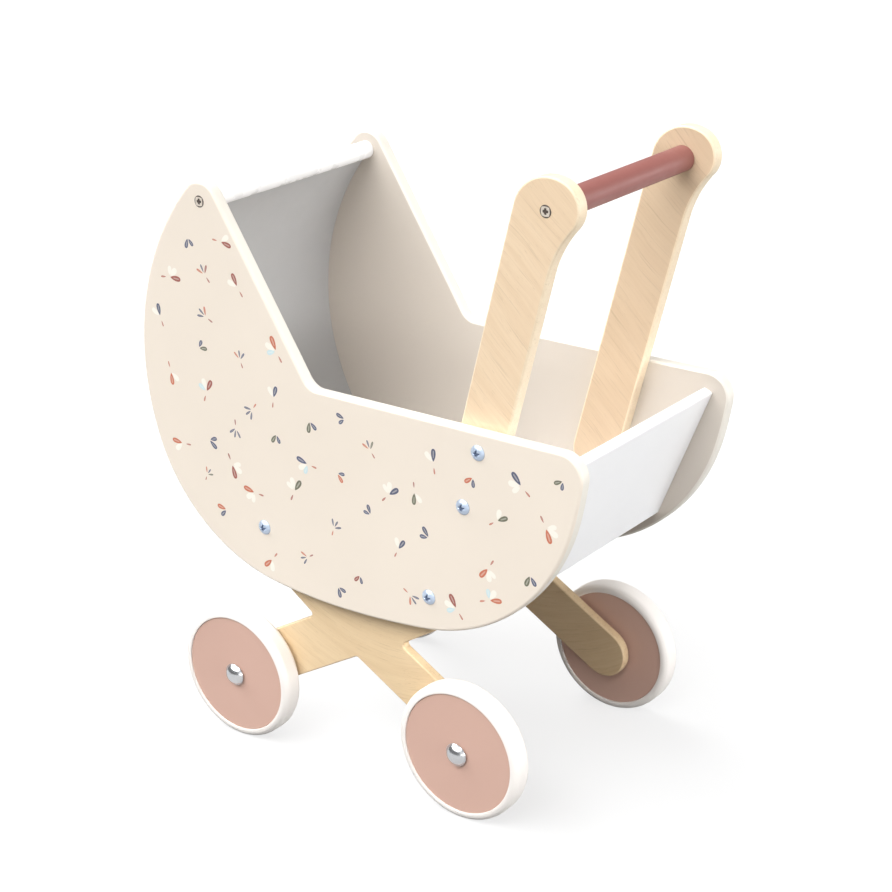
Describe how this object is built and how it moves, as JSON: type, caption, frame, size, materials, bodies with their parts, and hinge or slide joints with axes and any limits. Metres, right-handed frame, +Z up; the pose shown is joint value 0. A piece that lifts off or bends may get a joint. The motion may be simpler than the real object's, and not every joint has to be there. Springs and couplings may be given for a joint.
{
  "type": "toy doll pram",
  "caption": "Toy doll pram with crescent side panels, a bent hood, a leaning rear board, a push handle on two arms, crossed under-frames and free-spinning wheels.",
  "frame": {"origin": "on the ground under the middle of the bounding box", "axes": "+X forward to the hood end, +Y to the pram's left side, +Z up"},
  "size_m": [0.45, 0.2636, 0.5466],
  "materials": {
    "cream_board": "satin cream paint with a small scattered petal print on the outer faces",
    "white_board": "satin white paint",
    "white_lacquer": "glossy white lacquer",
    "pale_wood": "satin clear varnish over pale birch",
    "mauve_lacquer": "satin dusty-rose lacquer",
    "dowel_wood": "bare beech",
    "bare_steel": "bare",
    "zinc_steel": "zinc plated",
    "brass": "bare",
    "nylon": "matte",
    "chrome": "polished",
    "tyre": "soft warm-white rubber-like foam",
    "wheel_paint": "satin dusty-rose paint"
  },
  "bodies": {
    "pram_body": {"side_panel_left": "cream_board", "side_panel_right": "cream_board", "hood_shell": "white_board", "hood_rod": "white_lacquer", "floor_board": "white_board", "rear_board": "white_board", "handle_arm_left": "pale_wood", "handle_arm_right": "pale_wood", "handle_bar": "mauve_lacquer", "cross_frame_left": "pale_wood", "cross_frame_right": "pale_wood", "floor_dowels": "dowel_wood", "rear_dowels": "dowel_wood", "hood_rod_screws": "bare_steel", "handle_bar_screws": "bare_steel", "arm_screws": "zinc_steel", "arm_inserts": "brass", "frame_screws": "zinc_steel", "frame_inserts": "brass", "axle_inserts": "brass", "axle_spacers": "nylon", "axle_bolt_fl": "chrome", "axle_bolt_fr": "chrome", "axle_bolt_rl": "chrome", "axle_bolt_rr": "chrome"},
    "wheel_front_left": {"tyre_fl": "tyre", "wheel_disc_fl": "wheel_paint", "bush_fl": "nylon"},
    "wheel_front_right": {"tyre_fr": "tyre", "wheel_disc_fr": "wheel_paint", "bush_fr": "nylon"},
    "wheel_rear_left": {"tyre_rl": "tyre", "wheel_disc_rl": "wheel_paint", "bush_rl": "nylon"},
    "wheel_rear_right": {"tyre_rr": "tyre", "wheel_disc_rr": "wheel_paint", "bush_rr": "nylon"}
  },
  "joints": [
    {"name": "wheel_front_left_spin", "type": "hinge", "parent": "pram_body", "child": "wheel_front_left", "pos_m": [0.12904, 0.1155, 0.06], "axis": [0, 1, 0], "continuous": true},
    {"name": "wheel_front_right_spin", "type": "hinge", "parent": "pram_body", "child": "wheel_front_right", "pos_m": [0.12904, -0.1155, 0.06], "axis": [0, 1, 0], "continuous": true},
    {"name": "wheel_rear_left_spin", "type": "hinge", "parent": "pram_body", "child": "wheel_rear_left", "pos_m": [-0.11296, 0.1155, 0.06], "axis": [0, 1, 0], "continuous": true},
    {"name": "wheel_rear_right_spin", "type": "hinge", "parent": "pram_body", "child": "wheel_rear_right", "pos_m": [-0.11296, -0.1155, 0.06], "axis": [0, 1, 0], "continuous": true}
  ]
}
